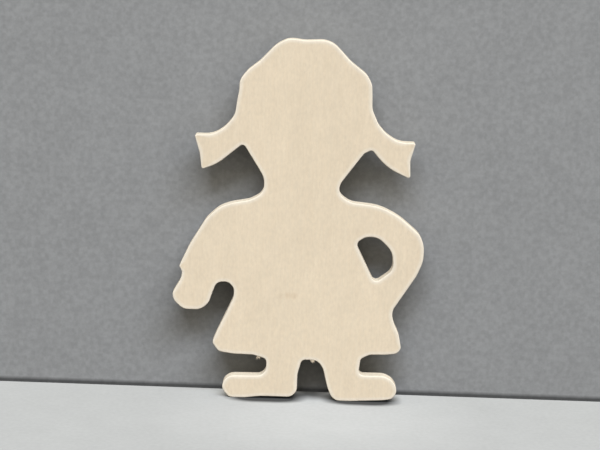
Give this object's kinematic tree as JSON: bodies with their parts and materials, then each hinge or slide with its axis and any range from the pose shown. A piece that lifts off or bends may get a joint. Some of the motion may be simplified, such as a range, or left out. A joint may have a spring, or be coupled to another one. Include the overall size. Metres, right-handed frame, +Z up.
{
  "type": "wooden figure",
  "caption": "Flat plywood cut-out of a girl with pigtails and a flared dress, blank on both faces, standing on its shoes; a doll blank for painting or display.",
  "frame": {"origin": "on the floor under the middle of the figure's width and thickness", "axes": "+Z up from the shoes to the crown, -Y out of the front face, +X to the viewer's right"},
  "size_m": [0.1029, 0.006, 0.15],
  "materials": {
    "face_veneer": "sanded bare birch, grain up and down",
    "cross_veneer": "sawn bare birch, grain from side to side",
    "core_veneer": "sawn bare birch, grain up and down"
  },
  "bodies": {
    "root": {"front_face_ply": "face_veneer", "front_cross_ply": "cross_veneer", "core_ply": "core_veneer", "back_cross_ply": "cross_veneer", "back_face_ply": "face_veneer"}
  },
  "joints": []
}
